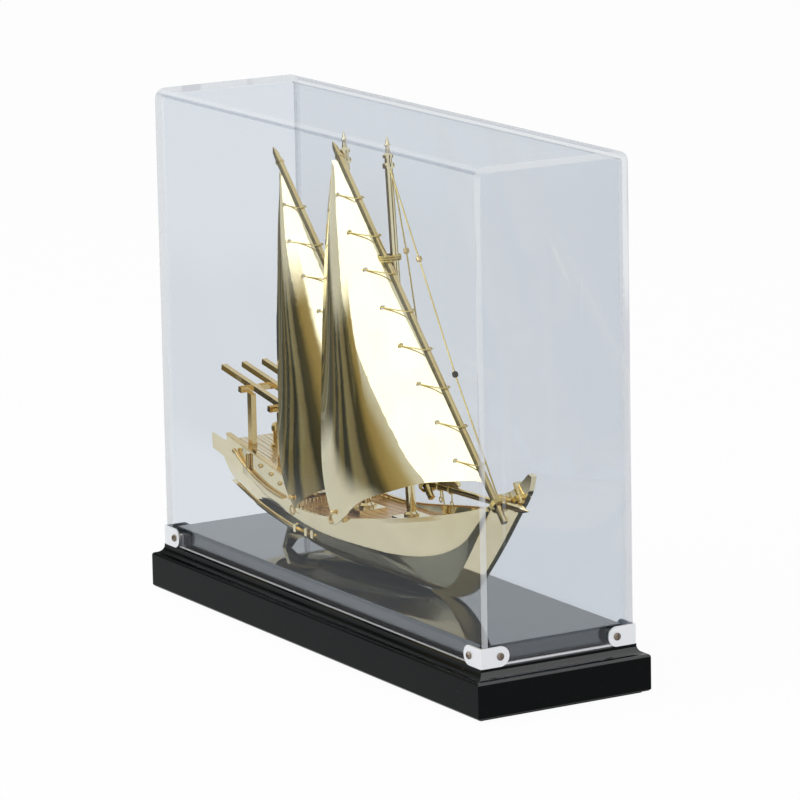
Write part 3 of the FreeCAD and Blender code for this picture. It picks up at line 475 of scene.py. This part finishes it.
@dataclass(frozen=True)
class CutEdge(Finish):
    """Pale cut edge of the sheet, with saw marks along it and a painted glow for light piped through the
    sheet.
    """

    pale: Colour
    marks: Colour
    body: float
    glow: float
    tint: Colour = (0.93, 0.94, 0.95)
    roughness: float = 0.3
    saw: Grain = Grain(95.0, 2.0, (0.1, 1.0, 0.06))
    saw_edge: Span = (0.54, 0.62)
    saw_depth: float = 0.2

    def shader(self, graph: Graph) -> Socket:
        """Frosted edge that is partly see-through."""
        saw = graph.ramp(graph.noise(self.saw), *self.saw_edge)
        clear = graph.node("ShaderNodeBsdfTransparent", inputs={"Color": rgba(self.tint)})
        colour = graph.blend(saw, rgba(self.pale), rgba(self.marks))
        # Painted glow: the edge's own colour is also given as emission, though the edge is no lamp.
        frost = graph.node("ShaderNodeBsdfPrincipled", inputs={
            "Base Color": colour, "Roughness": saw * self.saw_depth + self.roughness,
            "Emission Color": colour, "Emission Strength": self.glow})
        return graph.mix(self.body, clear, frost)


@dataclass(frozen=True)
class Plated(Finish):
    """Bright plated steel, a little uneven."""

    colour: Colour
    roughness: float
    metallic: float
    wear: Grain = Grain(400.0, 3.0)
    wear_depth: float = 0.12

    def shader(self, graph: Graph) -> Socket:
        """Metal with worn gloss."""
        return graph.node("ShaderNodeBsdfPrincipled", inputs={
            "Base Color": rgba(self.colour), "Metallic": self.metallic,
            "Roughness": graph.noise(self.wear) * self.wear_depth + self.roughness})


@dataclass(frozen=True)
class Felt(Finish):
    """Short black nap under the plinth."""

    colour: Colour
    tips: Colour
    roughness: float = 0.95
    nap: Grain = Grain(1800.0, 2.0)
    nap_strength: float = 0.5
    nap_depth: float = 0.0004

    def shader(self, graph: Graph) -> Socket:
        """Matt nap with paler tips."""
        nap = graph.noise(self.nap)
        return graph.node("ShaderNodeBsdfPrincipled", inputs={
            "Base Color": graph.blend(nap, rgba(self.colour), rgba(self.tips)),
            "Roughness": self.roughness, "Normal": graph.bump(nap, self.nap_strength, self.nap_depth)})


@dataclass(frozen=True)
class Glow(Finish):
    """Even light of its own, for what only reflections see."""

    colour: Colour

    def shader(self, graph: Graph) -> Socket:
        """Plain emission."""
        return graph.node("ShaderNodeEmission", inputs={"Color": rgba(self.colour)})


@dataclass(frozen=True)
class PaleFloor(Finish):
    """Matt floor that is seen as nearly plain white, so that a faint shadow stays on it."""

    colour: Colour = (0.9, 0.9, 0.9)
    white_share: float = 0.96

    def shader(self, graph: Graph) -> Socket:
        """Matt paint under plain white."""
        matt = graph.node("ShaderNodeBsdfDiffuse", inputs={"Color": rgba(self.colour)})
        white = graph.node("ShaderNodeEmission", inputs={"Color": rgba(WHITE), "Strength": 1.0})
        return graph.mix(graph.seen(*Ray) * self.white_share, matt, white)


def node_of(name: str) -> bpy.types.Object:
    """The CAD piece of that name."""
    return frame["nodes"][name]


def toward(azimuth: float, elevation: float = 0.0) -> Vector:
    """Direction from the case to a place around it.

    Args:
        azimuth: degrees from the front towards the bow.
        elevation: degrees above the level.

    Returns:
        The unit vector.
    """
    angle = math.radians(azimuth)
    level = math.radians(elevation)
    flat = Vector((math.sin(angle), -math.cos(angle), 0.0))
    return flat * math.cos(level) + Vector((0.0, 0.0, math.sin(level)))


def smooth(piece: bpy.types.Object, angle: float) -> None:
    """Shade a CAD piece smoothly, with crisp edges where its faces turn by more than an angle.

    Args:
        piece: the CAD piece, whose own mesh keeps its points.
        angle: the turn in degrees that counts as an edge.
    """
    piece.data.polygons.foreach_set("use_smooth", [True] * len(piece.data.polygons))
    weld = piece.modifiers.new("weld", "WELD")
    weld.merge_threshold = WELD_REACH
    split = piece.modifiers.new("crisp_edges", "EDGE_SPLIT")
    split.use_edge_sharp = False
    split.split_angle = math.radians(angle)


def dress(piece: bpy.types.Object, finish: bpy.types.Material) -> None:
    """Give a piece one finish all over."""
    piece.data.materials.clear()
    piece.data.materials.append(finish)


def dress_where(piece: bpy.types.Object, finish: bpy.types.Material,
                chosen: Callable[[bpy.types.MeshPolygon], bool]) -> None:
    """Give some faces of a dressed piece a second finish.

    Args:
        piece: the piece, which has its first finish.
        finish: the second finish.
        chosen: tells which faces take it.
    """
    piece.data.materials.append(finish)
    for face in piece.data.polygons:
        face.material_index = 1 if chosen(face) else 0


def flat_panel(name: str, size: Span, place: Matrix) -> bpy.types.Object:
    """Flat rectangle of the studio, with its place in its mesh.

    Args:
        name: the object's name.
        size: width and height in metres.
        place: where it goes.

    Returns:
        The new stage object.
    """
    mesh = bpy.data.meshes.new(name)
    shape = bmesh.new()
    bmesh.ops.create_grid(shape, x_segments=1, y_segments=1, size=0.5)
    bmesh.ops.scale(shape, vec=(*size, 1.0), verts=shape.verts)
    bmesh.ops.transform(shape, matrix=place, verts=shape.verts)
    shape.to_mesh(mesh)
    shape.free()
    made = bpy.data.objects.new(name, mesh)
    bpy.context.scene.collection.objects.link(made)
    made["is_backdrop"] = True
    return made


def mirror_only(piece: bpy.types.Object) -> None:
    """Leave a stage piece to mirror reflections alone."""
    piece.visible_camera = False
    piece.visible_diffuse = False
    piece.visible_transmission = False
    piece.visible_shadow = False


@dataclass
class Plinth:
    """Felt, moulded black plinth and the polished pad on it."""

    lacquer: Lacquer = Lacquer("black_lacquer", (0.0035, 0.0048, 0.0052), (0.1, 0.1, 0.1),
                               roughness=0.05, specular=0.05, dust_amount=0.3, coat=0.0)
    # Lit copy of the lacquer, paler and far glossier: a painted highlight on the end mouldings.
    shoulder: Lacquer = Lacquer("lacquer_lit_shoulder", (0.006, 0.0075, 0.008), (0.1, 0.1, 0.1),
                                roughness=0.05, specular=0.9, dust_amount=0.3, coat=0.0)
    polish: Lacquer = Lacquer("black_pad", (0.01, 0.012, 0.014), (0.2, 0.2, 0.2),
                              roughness=0.02, specular=0.95, dust_amount=0.4, coat=0.4,
                              sheen=(0.82, 0.92, 1.0))
    felt: Felt = Felt("felt", (0.008, 0.008, 0.008), (0.03, 0.03, 0.03))
    shoulder_from: float = 0.2
    crease: float = 25.0

    def _on_end_moulding(self, face: bpy.types.MeshPolygon) -> bool:
        """Whether a face is on the plinth's end mouldings, which get a painted highlight from a lit lacquer
        copy.
        """
        return min(abs(face.normal.x), face.normal.z) > self.shoulder_from

    def build(self) -> List[bpy.types.Object]:
        """Dress the plinth's pieces.

        Returns:
            The pieces.
        """
        parts = {"felt_underlay": self.felt, "base_plinth": self.lacquer, "display_pad": self.polish}
        pieces = []
        for name, finish in parts.items():
            piece = node_of(name)
            dress(piece, finish.material())
            smooth(piece, self.crease)
            pieces.append(piece)
        # Painted highlight: the end mouldings take the lit copy of the lacquer.
        dress_where(node_of("base_plinth"), self.shoulder.material(), self._on_end_moulding)
        return pieces


@dataclass
class Cover:
    """Clear cover: the bent sheet and its two ends, with pale cut edges and visible bends.

    The values whose names end in from are parts of a unit normal. Of the two ends, only the right one shows
    its cut edges.
    """

    panes: Dict[str, Acrylic] = field(default_factory=lambda: {
        "cover_wrap": Acrylic(
            "clear_acrylic", (0.895, 0.91, 0.925), (0.9, 0.92, 0.95), roughness=0.02, metallic=1.0,
            haze=0.0, shine=0.06, scratches=0.01, foot_glow=0.4, foot_haze=0.03),
        "cover_end_left": Acrylic(
            "acrylic_stern", (0.937, 0.95, 0.963), (0.9, 0.92, 0.95), roughness=0.02, metallic=1.0,
            haze=0.0, shine=0.06, foot_glow=0.4),
        "cover_end_right": Acrylic(
            "acrylic_bow", (0.88, 0.895, 0.915), (0.9, 0.92, 0.95), roughness=0.02, metallic=1.0,
            haze=0.0, shine=0.3, scratches=0.16, foot_glow=0.6, foot_haze=0.03),
    })
    cut: CutEdge = CutEdge("acrylic_cut_edge", (0.86, 0.88, 0.9), (0.42, 0.43, 0.5), body=0.38, glow=0.15)
    foot: CutEdge = CutEdge("acrylic_foot", (0.95, 0.96, 0.97), (0.8, 0.82, 0.84), body=0.9, glow=0.0)
    # Painted light and shade on the bends: a paler, hazier copy of the acrylic and a darker copy of it.
    light: Acrylic = Acrylic("bend_light", (0.9, 0.915, 0.93), (0.92, 0.93, 0.95),
                             roughness=0.3, metallic=0.0, haze=0.14, shine=0.4)
    shade: Acrylic = Acrylic("bend_shade", (0.78, 0.8, 0.83), (0.6, 0.62, 0.65),
                             roughness=0.2, metallic=0.0, haze=0.08, shine=0.2)
    cut_ends: Dict[str, bool] = field(
        default_factory=lambda: {"cover_end_left": False, "cover_end_right": True})
    foot_height: float = 0.03
    foot_from: float = 0.8
    cut_from: float = 0.5
    bend_from: float = 0.4
    light_from: float = 0.66
    crease: float = 25.0

    def _kind(self, face: bpy.types.MeshPolygon, sheet: str) -> Face:
        """Kind of one face.

        Args:
            face: a face of a sheet.
            sheet: the sheet's name.

        Returns:
            The kind.
        """
        along, across, up = face.normal
        if up < -self.foot_from and face.center.z < self.foot_height:
            return Face.FOOT
        if sheet in self.cut_ends:
            return Face.CUT if self.cut_ends[sheet] and abs(along) < self.cut_from else Face.PANE
        if abs(along) > self.cut_from:
            return Face.CUT
        if min(abs(across), abs(up)) > self.bend_from:
            # Painted light on the bend's upward faces, painted shade on the rest of the bend.
            return Face.BEND_LIGHT if up > self.light_from else Face.BEND_SHADE
        return Face.PANE

    def build(self) -> List[bpy.types.Object]:
        """Dress the cover's sheets.

        Returns:
            The sheets.
        """
        edges = [finish.material() for finish in (self.cut, self.light, self.shade, self.foot)]
        pieces = []
        for name, pane in self.panes.items():
            piece = node_of(name)
            dress(piece, pane.material())
            for finish in edges:
                piece.data.materials.append(finish)
            for face in piece.data.polygons:
                face.material_index = self._kind(face, name).value
            smooth(piece, self.crease)
            pieces.append(piece)
        return pieces


@dataclass
class Fixings:
    """Corner brackets and their screws."""

    nickel: Plated = Plated("bracket_metal", (0.78, 0.8, 0.83), roughness=0.26, metallic=0.85)
    steel: Plated = Plated("screw_steel", (0.24, 0.2, 0.16), roughness=0.26, metallic=1.0)
    crease: float = 30.0

    def build(self) -> List[bpy.types.Object]:
        """Dress the brackets and screws.

        Returns:
            The pieces.
        """
        nickel = self.nickel.material()
        corners = [(end, side) for end in ("front", "rear") for side in ("left", "right")]
        finishes = {f"corner_bracket_{end}_{side}": nickel for end, side in corners}
        finishes["bracket_screws"] = self.steel.material()
        pieces = []
        for name, finish in finishes.items():
            piece = node_of(name)
            dress(piece, finish)
            smooth(piece, self.crease)
            pieces.append(piece)
        return pieces


@dataclass
class Ship:
    """The gilt ship: hull and fittings, spars, decks, sails and wire."""

    case_slots: Tuple[str, ...] = (
        "clear_acrylic", "felt", "black_lacquer", "black_pad", "bracket_metal", "screw_steel",
    )
    hull: Gilt = Gilt("gilt_hull", (0.88, 0.77, 0.5), (0.84, 0.72, 0.46), 0.025, 0.02, lean=0.2)
    upper: Gilt = Gilt("gilt_upper", (0.88, 0.77, 0.5), (0.84, 0.72, 0.46), 0.025, 0.02)
    sail: Gilt = Gilt("gilt_sail", (0.9, 0.8, 0.52), (0.88, 0.76, 0.48), 0.025, 0.02)
    mizzen: Gilt = Gilt("gilt_mizzen_sail", (0.9, 0.8, 0.52), (0.88, 0.76, 0.48), 0.025, 0.02,
                        lean=-0.16, lean_rise=(0.095, 0.17))
    wire: Gilt = Gilt("gilt_wire", (0.74, 0.6, 0.24), (0.6, 0.46, 0.17), 0.1)
    trim: Gilt = Gilt("gilt_trim", (0.78, 0.59, 0.29), (0.7, 0.52, 0.23), 0.05)
    # The spar and yard finishes carry painted shade on one side of each piece.
    spar: Gilt = Gilt("gilt_spar", (0.95, 0.84, 0.55), (0.88, 0.75, 0.45), 0.03,
                      painted_shade=(0.16, 0.12, 0.06), painted_shade_edge=(0.35, 0.5))
    yard: Gilt = Gilt("gilt_yard", (0.86, 0.7, 0.36), (0.78, 0.6, 0.28), 0.03, painted_shade=(0.1, 0.08, 0.035))
    deck: Planks = Planks("gilt_deck", (0.78, 0.5, 0.22), (0.71, 0.44, 0.19), (0.5, 0.32, 0.14), 0.24)
    poop: Planks = Planks("gilt_poop", (0.86, 0.74, 0.52), (0.8, 0.68, 0.46), (0.5, 0.38, 0.22), 0.2)
    bead: Gilt = Gilt("gilt_dark_bead", (0.06, 0.055, 0.045), (0.035, 0.03, 0.025), 0.16)
    bead_below: float = 0.15
    lining_from: float = 0.4
    crease: float = 28.0
    yard_words: Tuple[str, ...] = ("yard",)
    spar_words: Tuple[str, ...] = ("mast", "bowsprit", "heel_spar", "collars")
    trim_words: Tuple[str, ...] = (
        "slats", "beams", "posts", "helm", "moulding", "studs", "rings", "nosing", "hooks", "beads",
        "cap_rail",
    )

    def _finish(self, name: str, slot: str) -> Union[Gilt, Planks]:
        """Finish of one piece.

        Args:
            name: the piece's name.
            slot: its slot in the record.

        Returns:
            The finish.
        """
        own = {"main_deck": self.deck, "poop_deck": self.poop, "hull": self.hull, "mizzen_sail": self.mizzen}
        if name in own:
            return own[name]
        by_word = ((self.yard_words, self.yard), (self.spar_words, self.spar), (self.trim_words, self.trim))
        for words, finish in by_word:
            if slot == "gilt_hull" and any(word in name for word in words):
                return finish
        return {"gilt_hull": self.upper, "gilt_sail": self.sail, "gilt_wire": self.wire}[slot]

    def build(self) -> List[bpy.types.Object]:
        """Dress every piece of the ship by its name and its slot in the record.

        The bulwarks are lined with the deck's finish, and the lowest bead is dark.

        Returns:
            The pieces.
        """
        finishes = (self.hull, self.upper, self.sail, self.mizzen, self.wire, self.trim, self.spar, self.yard,
                    self.deck, self.poop, self.bead)
        made = {finish.name: finish.material() for finish in finishes}
        pieces = []
        for part in frame["record"]["subparts"]:
            name, slot = part["node"], part["material_slot"]
            if slot in self.case_slots:
                continue
            piece = node_of(name)
            dress(piece, made[self._finish(name, slot).name])
            if name.startswith("gunwale"):
                inward = 1.0 if name.endswith("starboard") else -1.0
                dress_where(piece, made[self.deck.name],
                            lambda face: face.normal.y * inward > self.lining_from)
            if name == "rigging_beads":
                dress_where(piece, made[self.bead.name],
                            lambda face: face.center.z < self.bead_below)
            smooth(piece, self.crease)
            pieces.append(piece)
        return pieces


@dataclass(frozen=True)
class Board:
    """Streaked dark board, bent round the left front of the case, which only the gilt's reflections see.

    Lengths along it are given as x on its front part and run on past the bend on its side part. The outline
    gives its top edge and the streaks their colours, each at such lengths.
    """

    plane: float = -0.12
    bend: float = -0.35
    left: float = -0.53
    right: float = 0.1
    head: float = 0.34
    foot: Span = (0.026, 0.05)
    softness: float = 0.022
    waver: Grain = Grain(9.0, 2.0)
    wobble: float = 0.03
    slant: float = 0.55
    outline: Tuple[Span, ...] = (
        (-0.53, 0.15), (-0.42, 0.15), (-0.33, 0.125), (-0.22, 0.135), (-0.15, 0.155), (-0.1, 0.175),
        (-0.085, 0.185), (-0.07, 0.125), (-0.02, 0.105), (0.02, 0.07), (0.05, 0.0),
    )
    streaks: Tuple[Tuple[float, Colour], ...] = (
        (-0.53, (0.13, 0.135, 0.12)), (-0.45, (0.065, 0.075, 0.09)), (-0.4, (0.26, 0.24, 0.17)),
        (-0.34, (0.09, 0.095, 0.09)), (-0.27, (0.28, 0.23, 0.11)), (-0.245, (0.06, 0.062, 0.055)),
        (-0.2, (0.035, 0.04, 0.042)), (-0.185, (0.26, 0.22, 0.115)), (-0.155, (0.22, 0.19, 0.1)),
        (-0.145, (0.04, 0.044, 0.045)), (-0.12, (0.045, 0.05, 0.05)), (-0.105, (0.36, 0.32, 0.2)),
        (-0.075, (0.3, 0.26, 0.17)), (-0.06, (0.06, 0.06, 0.045)), (-0.035, (0.1, 0.085, 0.045)),
        (-0.015, (0.45, 0.34, 0.14)), (0.03, (0.62, 0.5, 0.25)), (0.08, (0.95, 0.85, 0.6)),
    )

    def _share(self, at: float) -> float:
        """Place of a length along the board, from 0 to 1."""
        return (at - self.left) / (self.right - self.left)

    def material(self, part: BoardPart) -> bpy.types.Material:
        """Make the board's own glow, with soft edges.

        Args:
            part: the part that it is for; the side runs back from the bend.

        Returns:
            The material.
        """
        made = bpy.data.materials.new(part.value)
        graph = Graph(made)
        x, y, z = (graph.place(axis) for axis in Axis)
        along = (self.bend + self.plane) - y if part is BoardPart.SIDE else x
        per_length = 1.0 / (self.right - self.left)
        share = (along - self.left) * per_length
        tops = [(self._share(at), (top / self.head,) * 3) for at, top in self.outline]
        top = graph.node("ShaderNodeValToRGB", {"stops": tops}, {0: share}) * self.head
        above = graph.ramp(z, top - self.softness, top + self.softness)
        solid = (1.0 - above) * graph.ramp(z, *self.foot)
        lean = (graph.noise(self.waver) - 0.5) * self.wobble + z * self.slant
        colours = [(self._share(at), colour) for at, colour in self.streaks]
        streak = graph.node("ShaderNodeValToRGB", {"stops": colours}, {0: share + lean * per_length})
        glow = graph.node("ShaderNodeEmission", inputs={"Color": streak})
        graph.surface(graph.mix(solid, graph.node("ShaderNodeBsdfTransparent"), glow))
        return made

    def build(self) -> List[bpy.types.Object]:
        """Stand up both parts.

        Returns:
            The parts.
        """
        upright = Matrix.Rotation(math.radians(QUARTER_TURN), 4, "X")
        turned = Matrix.Rotation(math.radians(QUARTER_TURN), 4, "Z") @ upright
        reach = self.bend - self.left
        places = {
            BoardPart.FRONT: (self.right - self.bend, (self.right + self.bend) / 2, self.plane, upright),
            BoardPart.SIDE: (reach, self.bend, self.plane + reach / 2, turned),
        }
        pieces = []
        for part, (width, x, y, turn) in places.items():
            place = Matrix.Translation((x, y, self.head / 2)) @ turn
            made = flat_panel(part.value, (width, self.head), place)
            dress(made, self.material(part))
            mirror_only(made)
            pieces.append(made)
        return pieces


@dataclass(frozen=True)
class Card:
    """Tall dark card far from the case, which gives the spars their dark lines.

    Its azimuth is in degrees from the front towards the bow, and its lengths are in metres. It starts below
    the floor by its drop.
    """

    name: str
    azimuth: float
    width: float
    height: float
    distance: float = 1.3
    drop: float = 0.3
    colour: Colour = (0.07, 0.06, 0.04)

    def build(self) -> bpy.types.Object:
        """Stand up the card.

        Returns:
            The card.
        """
        out = toward(self.azimuth)
        turn = (-out).to_track_quat("Z", "Y").to_matrix().to_4x4()
        middle = out * self.distance + Vector((0.0, 0.0, self.height / 2 - self.drop))
        made = flat_panel(self.name, (self.width, self.height), Matrix.Translation(middle) @ turn)
        dress(made, Glow(self.name, self.colour).material())
        mirror_only(made)
        return made


@dataclass(frozen=True)
class Lamp:
    """Soft rectangular lamp aimed at the case.

    Its angles are in degrees, the azimuth from the front towards the bow, and its lengths are in metres.
    """

    name: str
    azimuth: float
    elevation: float
    distance: float
    size: Span
    watts: float
    aim: float = 0.12

    def build(self) -> bpy.types.Object:
        """Hang the lamp.

        Returns:
            The lamp.
        """
        light = bpy.data.lights.new(self.name, "AREA")
        light.shape = "RECTANGLE"
        light.size, light.size_y = self.size
        light.energy = self.watts
        made = bpy.data.objects.new(self.name, light)
        bpy.context.scene.collection.objects.link(made)
        away = toward(self.azimuth, self.elevation)
        made.location = Vector((0.0, 0.0, self.aim)) + away * self.distance
        made.rotation_euler = (-away).to_track_quat("-Z", "Y").to_euler()
        return made


@dataclass
class Studio:
    """White room, soft lamps, and a board and cards that only reflections see."""

    floor_size: float = 12.0
    floor_below: float = 0.0002
    floor_paint: PaleFloor = PaleFloor("studio_floor")
    room_light: float = 0.55
    board: Board = Board()
    cards: Tuple[Card, ...] = (Card("card_right", 92.0, 0.55, 1.8), Card("card_back", 168.0, 0.6, 1.8))
    lamps: Tuple[Lamp, ...] = (
        Lamp("key", -22.0, 30.0, 1.1, (1.3, 1.0), 7.0), Lamp("fill", 75.0, 40.0, 1.5, (0.8, 0.8), 3.0),
    )

    def _floor(self) -> bpy.types.Object:
        """Pale floor that keeps a faint shadow under the case."""
        place = Matrix.Translation((0.0, 0.0, -self.floor_below))
        made = flat_panel("floor", (self.floor_size, self.floor_size), place)
        dress(made, self.floor_paint.material())
        return made

    def _room(self) -> None:
        """White all round, at a plain level for what it lights."""
        world = bpy.data.worlds.new("white_room")
        bpy.context.scene.world = world
        graph = Graph(world)
        strength = graph.seen(*Ray) * (1.0 - self.room_light) + self.room_light
        glow = graph.node("ShaderNodeBackground", inputs={"Color": rgba(WHITE), "Strength": strength})
        graph.node("ShaderNodeOutputWorld", inputs={"Surface": glow})

    def build(self) -> List[bpy.types.Object]:
        """Make the room.

        Returns:
            The stage objects.
        """
        self._room()
        pieces = [self._floor(), *self.board.build()]
        for card in self.cards:
            pieces.append(card.build())
        for lamp in self.lamps:
            lamp.build()
        bpy.context.scene.view_settings.view_transform = "Standard"
        return pieces


@dataclass
class Viewpoint:
    """Camera at the photograph's viewing angle."""

    target: Triple = (4.3 * MM, 4.2 * MM, 108.4 * MM)
    azimuth: float = 59.38
    elevation: float = 11.91
    distance: float = 2.312
    roll: float = -1.12
    lens: float = 236.6
    sensor: float = 36.0

    def build(self) -> bpy.types.Object:
        """Place the camera.

        Returns:
            The camera.
        """
        back = toward(self.azimuth, self.elevation)
        right = toward(self.azimuth + QUARTER_TURN)
        up = back.cross(right)
        lean = math.radians(self.roll)
        across = right * math.cos(lean) + up * math.sin(lean)
        upward = up * math.cos(lean) - right * math.sin(lean)
        data = bpy.data.cameras.new("camera")
        data.lens = self.lens
        data.sensor_width = self.sensor
        made = bpy.data.objects.new("camera", data)
        bpy.context.scene.collection.objects.link(made)
        turn = Matrix((across, upward, back)).transposed().to_4x4()
        made.matrix_world = Matrix.Translation(Vector(self.target) + back * self.distance) @ turn
        bpy.context.scene.camera = made
        return made


def corners() -> List[List[float]]:
    """Lowest and highest corner of what is shown."""
    return [list(corner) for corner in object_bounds()]


def main() -> None:
    """Build the scene in order and report each piece."""
    logging.basicConfig(level=logging.INFO, format="%(message)s")
    bpy.context.view_layer.update()
    for assembly in (Plinth(), Cover(), Fixings(), Ship()):
        for piece in assembly.build():
            LOG.info("%s: %s", type(assembly).__name__, piece.name)
    Studio().build()
    Viewpoint().build()
    bpy.context.view_layer.update()


if __name__ == "__main__":
    main()
